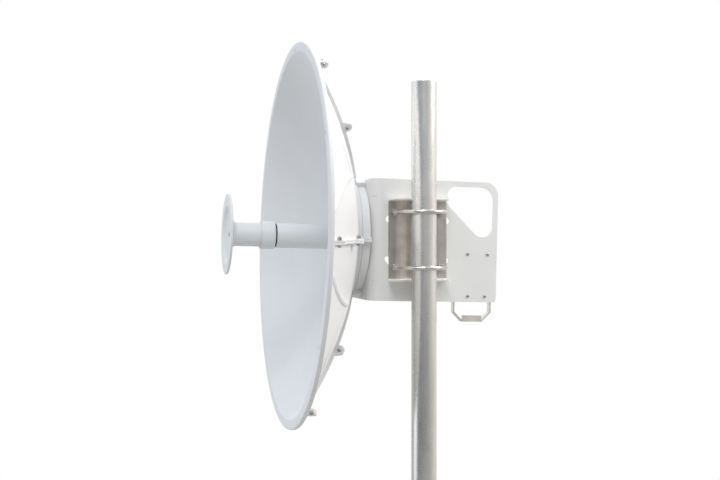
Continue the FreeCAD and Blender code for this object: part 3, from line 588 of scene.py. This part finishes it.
def petal_bead():
    """Arched stiffening bead on the back: a crowned ribbon, its crown towards the hub."""
    half = [(236.0, 0.0), (240.0, 5.0), (267.0, 27.0), (289.0, 51.0), (305.0, 77.0), (316.0, 104.0),
            (322.0, 132.0)]
    line = [Vector((u, -v)) for u, v in reversed(half[1:])] + [Vector(point) for point in half]
    middle_angle = math.radians(PETAL_DEG / 2)
    stations = smooth_line(line, steps=7)
    across = 14
    fade_stations = 3
    bm = bmesh.new()
    rows = []
    for index, here in enumerate(stations):
        along = stations[min(index + 1, len(stations) - 1)] - stations[max(index - 1, 0)]
        side = Vector((along.y, -along.x)).normalized() * BEAD_HALF_WIDTH
        fade = min(1.0, min(index, len(stations) - 1 - index) / fade_stations)
        row = []
        for step in range(across + 1):
            share = 2 * step / across - 1
            spot = here + side * share
            rise = BEAD_HEIGHT * fade * math.cos(share * math.pi / 2) ** BEAD_FULLNESS
            angle = middle_angle + math.atan2(spot.y, spot.x)
            depth = bowl_depth(spot.length) + SHEET - BEAD_SINK + rise
            row.append(bm.verts.new(around(spot.length, depth, angle)))
        rows.append(row)
    for here, there in zip(rows, rows[1:]):
        for step in range(across):
            bm.faces.new((here[step], here[step + 1], there[step + 1], there[step]))
        bm.faces.new((here[across], here[0], there[0], there[across]))
    bm.faces.new(rows[0])
    bm.faces.new(rows[-1])
    return mesh_from(bm, sharp_degrees=60.0)


def smooth_line(points, steps):
    """Catmull-Rom curve through the points."""
    padded = [points[0] * 2 - points[1]] + points + [points[-1] * 2 - points[-2]]
    curve = []
    for index in range(len(points) - 1):
        a, b, c, d = padded[index:index + 4]
        for step in range(steps):
            t = step / steps
            curve.append(0.5 * ((2 * b) + (c - a) * t + (2 * a - 5 * b + 4 * c - d) * t ** 2
                                + (3 * b - a - 3 * c + d) * t ** 3))
    return curve + [points[-1]]


def petal_flange(side):
    """Seam flange with its two ears, on the seam at angle 0, to the given side of it."""
    rim_room = 4.0
    start = INNER_R + SHEET
    end = DISH_R - SHEET - rim_room
    count = 125
    lower = []
    upper = []
    for index in range(count + 1):
        radius = start + (end - start) * index / count
        base = bowl_depth(radius) + SHEET
        lower.append((radius, base - SHEET / 2))
        top = base + SEAM_FLANGE
        for ear_r, height in EARS:
            reach = abs(radius - ear_r)
            if reach < EAR_R:
                crown = bowl_depth(ear_r) + SHEET + height
                top = max(top, crown + math.sqrt(EAR_R ** 2 - reach ** 2))
        upper.append((radius, top))
    near = SEAM_GAP * side
    far = (SEAM_GAP + SEAM_WALL) * side
    mesh = mesh_from(slab(lower + upper[::-1], min(near, far), max(near, far)))
    return bevelled(mesh, width=0.7, degrees=40.0)


def petal_collar():
    """Wall behind the land that wraps the drum, with a flange closing each end."""
    rear_gap = 0.3
    into_land = 1.0
    rear = DRUM_REAR - rear_gap
    front = DRUM_FRONT - into_land
    inner, outer = COLLAR_R
    gap = math.degrees(SEAM_GAP / inner)
    neck_r, neck_end = COLLAR_NECK
    wall = rounded([(inner, front, 0), (neck_r, front, 0), (neck_r, neck_end, 0.3),
                    (outer, neck_end, 0.5), (outer, rear, 0.8), (inner, rear, 0.5)])
    end = rounded([(inner, front, 0.5), (COLLAR_END_R, front, 1.0), (COLLAR_END_R, rear, 1.0),
                   (inner, rear, 0.5)])
    reach = math.degrees(COLLAR_END / outer)
    ends = []
    for angle in (gap, PETAL_DEG - gap - reach):
        block = mesh_from(revolve(end, angle, reach, steps=3))
        ends.append(bevelled(block, width=0.5, degrees=50.0))
    return joined([mesh_from(revolve(wall, gap, PETAL_DEG - 2 * gap, PETAL_STEPS))] + ends)


def make_petals():
    flange_low = petal_flange(1)
    flange_high = spun(petal_flange(-1), PETAL_DEG)
    blank = joined([petal_wall(), petal_bead(), flange_low, flange_high, petal_collar()])
    for index in range(PETALS):
        mesh = spun(blank, PETAL_DEG * index - SEAM_ROLL)
        mesh.transform(DISH)
        node = "petal_%d" % (index + 1)
        piece(node + "_shell", mesh, node)


# ---------------------------------------------------------------- feed

def turned_piece(node, corners):
    """Piece of the feed from a closed outline of (radius, depth, corner radius)."""
    piece(node + "_shown", mesh_from(revolve(rounded(corners)), DISH), node)


def make_feed():
    """The feed's turned pieces, from the rear tube forward to the sub-reflector."""
    turned_piece("feed_rear_tube", [
        (SPIGOT_BORE_R, TUBE_JOINT, 0), (SPIGOT_R, TUBE_JOINT, 0), (SPIGOT_R, GROOVE_REAR, 0),
        (REAR_TUBE_R, GROOVE_REAR, 0.9), (REAR_TUBE_R, REAR_TUBE_END, 0),
        (REAR_BORE_R, REAR_TUBE_END, 0), (REAR_BORE_R, SPIGOT_BORE_REAR, 0),
        (SPIGOT_BORE_R, SPIGOT_BORE_REAR, 0)])
    turned_piece("feed_seal", [
        (SPIGOT_R, GROOVE_REAR, 0), (SPIGOT_R, RING_REAR, 0), (SEAL_R, RING_REAR, 0.5),
        (SEAL_R, GROOVE_REAR, 0.5)])
    turned_piece("feed_collar", [
        (SPIGOT_R, RING_REAR, 0), (SPIGOT_R, TUBE_JOINT, 0), (FRONT_TUBE_R, TUBE_JOINT, 0),
        (FRONT_TUBE_R, RING_FRONT, 0), (RING_LIP_R, RING_FRONT, 0.5),
        (RING_LIP_R, RING_LIP_REAR, 0.3), (RING_R, RING_LIP_REAR, 1.0),
        (RING_R, RING_REAR, 2.4)])
    turned_piece("feed_front_tube", [
        (FRONT_BORE_R, TUBE_JOINT, 0), (FRONT_TUBE_R, TUBE_JOINT, 0),
        (FRONT_TUBE_R, FRONT_TUBE_END, 0), (FRONT_BORE_R, FRONT_TUBE_END, 0)])
    turned_piece("feed_plug", plug_outline())
    turned_piece("sub_reflector", [
        (0.0, SUB_FACE + 8.0, 0), (12.0, SUB_FACE + 8.0, 6.0), (49.0, SUB_FACE + 5.0, 4.0),
        (56.5, SUB_FACE, 1.6), (SUB_R, SUB_FACE, 1.1), (SUB_R, SUB_FACE + 4.2, 1.1),
        (60.0, SUB_FACE + 6.6, 12.0), (34.0, SUB_BACK, 1.0), (0.0, SUB_BACK, 0)])


def plug_outline():
    """Dielectric plug: a blunt cone inside the front tube, then a flare to the sub-reflector."""
    corners = [(0.0, FRONT_TUBE_END + 22.0, 0), (6.0, FRONT_TUBE_END + 16.0, 2.0),
               (FRONT_BORE_R, FRONT_TUBE_END + 12.0, 0), (FRONT_BORE_R, FRONT_TUBE_END, 0)]
    steps = 10
    for step in range(steps + 1):
        angle = math.pi / 2 * step / steps
        radius = FRONT_TUBE_R + FLARE_R * (1 - math.cos(angle))
        corners.append((radius, FRONT_TUBE_END - FLARE_LENGTH * math.sin(angle), 0))
    return corners + [(FRONT_TUBE_R + FLARE_R, SUB_BACK, 0), (0.0, SUB_BACK, 0)]


# ---------------------------------------------------------------- clamp

def rod_between(rings, segments=28):
    """Closed rod through rings of (centre, side, up, radius function of the angle)."""
    bm = bmesh.new()
    made = []
    for centre, side, up, radius in rings:
        ring = []
        for index in range(segments):
            angle = 2 * math.pi * index / segments
            spoke = side * math.cos(angle) + up * math.sin(angle)
            ring.append(bm.verts.new(centre + spoke * radius(angle)))
        made.append(ring)
    for here, there in zip(made, made[1:]):
        for index in range(segments):
            bm.faces.new((here[index - 1], here[index], there[index], there[index - 1]))
    bm.faces.new(made[0])
    bm.faces.new(made[-1])
    return bm


def thread_radius(x):
    """Rod radius round the thread at a place along X, as a function of the angle."""
    def radius(angle):
        phase = (x / THREAD_PITCH + angle / (2 * math.pi)) % 1.0
        return ROD_R - THREAD_DEPTH * abs(2 * phase - 1)
    return radius


def u_bolt_leg():
    """(x, radius function) of the rings along one leg, from its tail to the end of its thread."""
    count = int((THREAD_END_X - UBOLT_TAIL_X) / THREAD_PITCH * THREAD_STEPS)
    leg = [(UBOLT_TAIL_X, lambda angle: ROD_R - TAIL_CHAMFER)]
    for index in range(1, count + 1):
        x = UBOLT_TAIL_X + index * THREAD_PITCH / THREAD_STEPS
        leg.append((x, thread_radius(x)))
    leg.append((THREAD_END_X + THREAD_RUN_OUT, lambda angle: ROD_R))
    return leg


def u_bolt(node, height):
    """Round U-bolt with threaded legs."""
    bend_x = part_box(node)[1].x / MM - ROD_R - UBOLT_HALF
    up = Vector((0, 0, 1))
    leg = u_bolt_leg()
    rings = []
    for x, radius in leg:
        rings.append((Vector((x, -UBOLT_HALF, height)), Vector((0, -1, 0)), up, radius))
    steps = 60
    thread_room = 2.0
    for step in range(steps + 1):
        angle = math.pi * step / steps
        spoke = Vector((math.sin(angle), -math.cos(angle), 0))
        centre = Vector((bend_x, 0, height)) + spoke * UBOLT_HALF
        if centre.x > THREAD_END_X + thread_room:
            rings.append((centre, spoke, up, lambda angle: ROD_R))
    for x, radius in reversed(leg):
        rings.append((Vector((x, UBOLT_HALF, height)), Vector((0, 1, 0)), up, radius))
    piece(node + "_shown", mesh_from(rod_between(rings), CLAMP, 50.0), node)


# ---------------------------------------------------------------- stage

def upright(corners):
    """Solid of revolution about the Z axis from (radius, height, corner radius) corners."""
    bm = revolve(rounded(corners))
    bmesh.ops.rotate(bm, verts=bm.verts, matrix=Matrix.Rotation(math.radians(90), 3, "X"))
    return bm


def stage_piece(name, bm, material):
    mesh = mesh_from(bm)
    mesh.materials.append(material)
    made = bpy.data.objects.new(name, mesh)
    scene.collection.objects.link(made)


def stage_mast():
    """Galvanised tube standing on the floor and running through the clamp."""
    wall = 3.2 * MM
    bevel = 0.6 * MM
    bm = upright([
        (MAST_R, FLOOR_Z, 0), (MAST_R, MAST_TOP, bevel), (MAST_R - wall, MAST_TOP, bevel),
        (MAST_R - wall, FLOOR_Z, 0)])
    made = Nodes("mast_zinc")
    lines = made.noise(scale=1.0, detail=6.0, roughness=0.62,
                       where=made.stretched((110.0, 110.0, 5.0)))
    cloud = made.noise(scale=24.0, detail=6.0, roughness=0.7,
                       where=made.stretched((1.0, 1.0, 0.45)))
    blend = made.mix(0.45, lines, cloud)
    zinc = made.ramp(blend, (0.36, (0.66, 0.65, 0.62)), (0.5, (0.74, 0.73, 0.71)),
                     (0.66, (0.82, 0.815, 0.80)))
    # Painted shade: the zinc is darkened towards the bottom, standing in for the darker floor that
    # the tube reflects
    painted_shade_low = made.along("Z", -0.35, 0.1, (0.0, (0.8, 0.8, 0.79)), (1.0, 1.0))
    made.colour(made.mix(1.0, zinc, painted_shade_low, "MULTIPLY"))
    made.rough(made.ramp(cloud, (0.35, 0.24), (0.65, 0.32)))
    made.bump(lines, strength=0.07, distance=0.0002)
    made.bump(cloud, strength=0.16, distance=0.0006)
    made.shader.inputs["Metallic"].default_value = 1.0
    stage_piece("stage_mast", bm, made.material)


def stage_floor():
    """Round pale floor under the mast."""
    edge = 0.01
    under = FLOOR_Z - FLOOR_THICKNESS
    bm = upright([(0.0, FLOOR_Z, 0), (FLOOR_R, FLOOR_Z, edge), (FLOOR_R, under, edge),
                  (0.0, under, 0)])
    made = Nodes("floor_plaster")
    cloud = made.noise(scale=3.0)
    made.colour(made.ramp(cloud, (0.4, (0.44, 0.42, 0.39)), (0.6, (0.47, 0.45, 0.42))))
    made.shader.inputs["Roughness"].default_value = 0.9
    stage_piece("stage_floor", bm, made.material)


def area_light(name, place, target, diameter, watts, colour):
    light = bpy.data.lights.new(name, "AREA")
    light.shape = "DISK"
    light.size = diameter
    light.energy = watts
    light.color = colour
    made = bpy.data.objects.new(name, light)
    scene.collection.objects.link(made)
    made.location = place
    made.rotation_mode = "QUATERNION"
    made.rotation_quaternion = (Vector(target) - Vector(place)).to_track_quat("-Z", "Y")


def world_ramp(tree, value, *stops):
    """Colour by direction, through (position, colour) stops, for a value from -1 to 1."""
    spread = tree.nodes.new("ShaderNodeMapRange")
    spread.inputs["From Min"].default_value = -1.0
    tree.links.new(value, spread.inputs["Value"])
    ramp = tree.nodes.new("ShaderNodeValToRGB")
    while len(ramp.color_ramp.elements) < len(stops):
        ramp.color_ramp.elements.new(0.5)
    for element, (position, colour) in zip(ramp.color_ramp.elements, stops):
        element.position = (position + 1) / 2
        element.color = (*colour, 1.0)
    tree.links.new(spread.outputs["Result"], ramp.inputs["Fac"])
    return ramp.outputs["Color"]


def stage_world():
    """White surroundings: dim and warm below, cool in front, warm behind, dimmest to one side."""
    world = bpy.data.worlds.new("studio")
    scene.world = world
    world.use_nodes = True
    tree = world.node_tree
    background = tree.nodes["Background"]
    place = tree.nodes.new("ShaderNodeTexCoord").outputs["Generated"]
    split = tree.nodes.new("ShaderNodeSeparateXYZ")
    tree.links.new(place, split.inputs["Vector"])
    by_height = world_ramp(
        tree, split.outputs["Z"], (-0.42, (0.24, 0.215, 0.19)), (-0.235, (1.0, 1.0, 1.0)),
        (0.25, (1.0, 1.0, 1.0)), (1.0, (0.95, 1.02, 1.1)))
    by_side = world_ramp(
        tree, split.outputs["Y"], (-1.0, (0.42, 0.48, 0.54)), (-0.15, (1.0, 1.0, 1.0)),
        (0.56, (1.0, 1.0, 1.0)), (1.0, (1.02, 0.98, 0.93)))
    both = tree.nodes.new("ShaderNodeMix")
    both.data_type = "RGBA"
    both.blend_type = "MULTIPLY"
    both.inputs["Factor"].default_value = 1.0
    tree.links.new(by_height, both.inputs[6])
    tree.links.new(by_side, both.inputs[7])
    tree.links.new(both.outputs[2], background.inputs["Color"])
    toward = tree.nodes.new("ShaderNodeVectorMath")
    toward.operation = "DOT_PRODUCT"
    toward.inputs[1].default_value = DIM_SIDE
    tree.links.new(place, toward.inputs[0])
    side = tree.nodes.new("ShaderNodeMapRange")
    side.inputs["From Min"].default_value = -0.1
    side.inputs["From Max"].default_value = 1.0
    side.inputs["To Min"].default_value = 1.0
    side.inputs["To Max"].default_value = DIM_STRENGTH
    tree.links.new(toward.outputs["Value"], side.inputs["Value"])
    tree.links.new(side.outputs["Result"], background.inputs["Strength"])


def make_camera():
    """Level camera to the right of the dish, a little in front of its rim."""
    data = bpy.data.cameras.new("camera")
    data.lens = CAMERA_LENS
    data.sensor_width = SENSOR_WIDTH
    data.clip_start = 0.05
    data.clip_end = 60.0
    camera = bpy.data.objects.new("camera", data)
    scene.collection.objects.link(camera)
    camera.location = CAMERA_PLACE
    camera.rotation_euler = (math.radians(90), 0, math.radians(CAMERA_TURN_DEG))
    scene.camera = camera


make_petals()
make_feed()
u_bolt("u_bolt_upper", UBOLT_Z)
u_bolt("u_bolt_lower", -UBOLT_Z)
softened("bracket_plate", 0.5)
softened("clamp_channel", 0.5)
softened("radio_stirrup", 1.1, 3)
softened("radio_saddle", 0.5)
softened("hub_drum", 0.6)
softened("feed_plate", 0.6)
softened("feed_flange", 0.6)
softened("transition_body", 0.8)
softened("transition_cap", 0.5)
for fastener in ("clamp_jam_nuts", "clamp_washers", "clamp_nuts", "seam_bolts", "seam_washers",
                 "seam_nuts", "petal_bolts", "bracket_bolts", "bracket_washers", "bracket_nuts",
                 "feed_plate_bolts", "feed_flange_screws", "transition_screws",
                 "connector_shells", "plate_screws", "plate_screw_nuts", "sub_reflector_screw"):
    softened(fastener, 0.22, 1)
make_camera()
stage_mast()
stage_floor()
stage_world()
for light_settings in LIGHTS:
    area_light(*light_settings)
